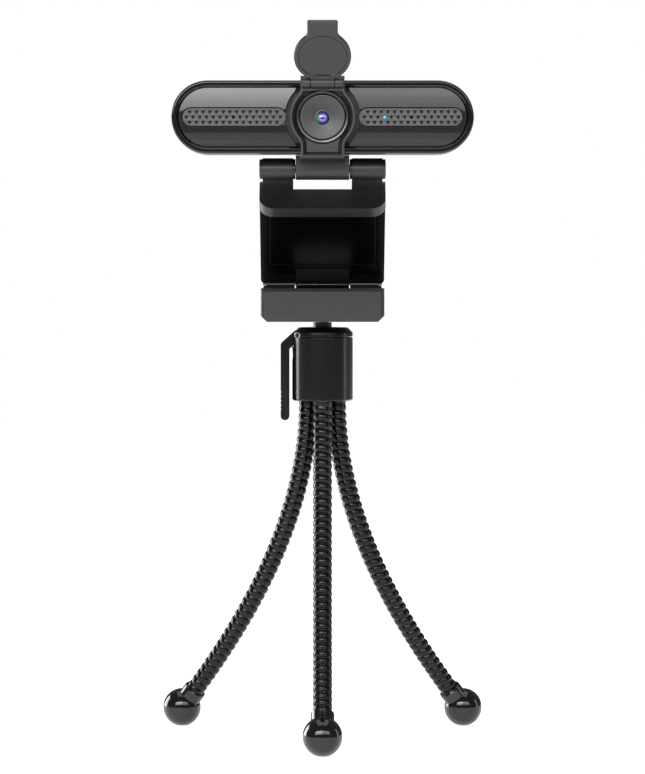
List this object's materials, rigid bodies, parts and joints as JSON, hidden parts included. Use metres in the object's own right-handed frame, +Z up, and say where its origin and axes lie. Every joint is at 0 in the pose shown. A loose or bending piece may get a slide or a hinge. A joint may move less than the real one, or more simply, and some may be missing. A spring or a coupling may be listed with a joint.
{
  "type": "webcam on tripod",
  "caption": "Bar-shaped webcam with a flip-up lens shutter, on a folding monitor clip screwed to a mini tripod with a ball head and bendable gooseneck legs.",
  "frame": {"origin": "on the table, under the middle of the whole object's box", "axes": "+Z up, the webcam looks along -Y, +X to the right of someone facing its lens"},
  "size_m": [0.1208, 0.1066, 0.2621],
  "materials": {
    "gloss_black": "polished moulded plastic",
    "satin_grey": "satin moulded plastic",
    "shell_grey": "fine matte grain",
    "grille_grey": "matte, perforated",
    "clip_black": "fine matte grain",
    "tripod_black": "satin, soft-touch",
    "rubber_black": "soft rubber",
    "steel": "turned steel",
    "black_steel": "blackened turned steel",
    "brass": "turned brass",
    "lens_glass": "coated lens glass",
    "light_blue": "lit light pipe",
    "board_green": "circuit board",
    "sensor_glass": "sensor cover"
  },
  "bodies": {
    "tripod_head": {"head_body": "tripod_black", "head_cap": "tripod_black", "base_plug": "tripod_black", "brake_shoe": "rubber_black", "lever_pin": "black_steel"},
    "lever": {"lock_lever": "tripod_black"},
    "leg_front": {"gooseneck_front": "tripod_black", "foot_front": "gloss_black"},
    "leg_right": {"gooseneck_right": "tripod_black", "foot_right": "gloss_black"},
    "leg_left": {"gooseneck_left": "tripod_black", "foot_left": "gloss_black"},
    "ball_seat": {"ball_seat": "rubber_black"},
    "clip_leg": {"ball": "black_steel", "camera_screw": "steel", "thread_insert": "brass", "clip_leg": "clip_black", "leg_pad": "gloss_black", "leg_hinge_pin": "black_steel", "left_hinge_cap": "clip_black", "right_hinge_cap": "clip_black"},
    "clip_plate": {"clip_plate": "clip_black", "plate_pad": "rubber_black", "tilt_axle": "black_steel", "left_tilt_cap": "clip_black", "right_tilt_cap": "clip_black", "left_friction_washer": "black_steel", "right_friction_washer": "black_steel"},
    "webcam": {"rear_shell": "shell_grey", "shell_screw_1": "steel", "shell_screw_2": "steel", "shell_screw_3": "steel", "shell_screw_4": "steel", "cable_gland": "rubber_black", "front_bezel": "gloss_black", "chassis_plate": "shell_grey", "left_face_panel": "gloss_black", "right_face_panel": "gloss_black", "left_mic_grille": "grille_grey", "right_mic_grille": "grille_grey", "left_mic_capsule": "steel", "right_mic_capsule": "steel", "lens_collar": "satin_grey", "shutter_pin": "black_steel", "lens_ring": "satin_grey", "lens_baffle_cone": "gloss_black", "front_lens": "lens_glass", "lens_barrel": "clip_black", "lens_holder": "clip_black", "image_sensor": "sensor_glass", "sensor_board": "board_green", "main_board": "board_green", "status_light": "light_blue", "neck_block": "satin_grey"},
    "shutter": {"shutter_cover": "satin_grey"}
  },
  "joints": [
    {"name": "leg_front_bend", "type": "hinge", "parent": "tripod_head", "child": "leg_front", "pos_m": [0, 0.00937, 0.1203], "axis": [1, 0, 0], "range_deg": [-30, 8]},
    {"name": "leg_right_bend", "type": "hinge", "parent": "tripod_head", "child": "leg_right", "pos_m": [0.0052, 0.01837, 0.1203], "axis": [-0.5, 0.866, 0], "range_deg": [-30, 8]},
    {"name": "leg_left_bend", "type": "hinge", "parent": "tripod_head", "child": "leg_left", "pos_m": [-0.0052, 0.01837, 0.1203], "axis": [-0.5, -0.866, 0], "range_deg": [-30, 8]},
    {"name": "lever_swing", "type": "hinge", "parent": "tripod_head", "child": "lever", "pos_m": [-0.0094, 0.01537, 0.1483], "axis": [0, 1, 0], "range_deg": [0, 60]},
    {"name": "ball_pan", "type": "hinge", "parent": "tripod_head", "child": "ball_seat", "pos_m": [0, 0.01537, 0.1413], "axis": [0, 0, 1], "continuous": true},
    {"name": "ball_tilt", "type": "hinge", "parent": "ball_seat", "child": "clip_leg", "pos_m": [0, 0.01537, 0.1413], "axis": [1, 0, 0], "range_deg": [-12, 12]},
    {"name": "clip_fold", "type": "hinge", "parent": "clip_leg", "child": "clip_plate", "pos_m": [0, 0.03938, 0.16294], "axis": [-1, 0, 0], "range_deg": [-44, 134]},
    {"name": "webcam_tilt", "type": "hinge", "parent": "clip_plate", "child": "webcam", "pos_m": [0, 0.00553, 0.2095], "axis": [1, 0, 0], "range_deg": [-40, 45]},
    {"name": "shutter_flip", "type": "hinge", "parent": "webcam", "child": "shutter", "pos_m": [0, -0.01297, 0.2402], "axis": [1, 0, 0], "range_deg": [-35, 145]}
  ]
}
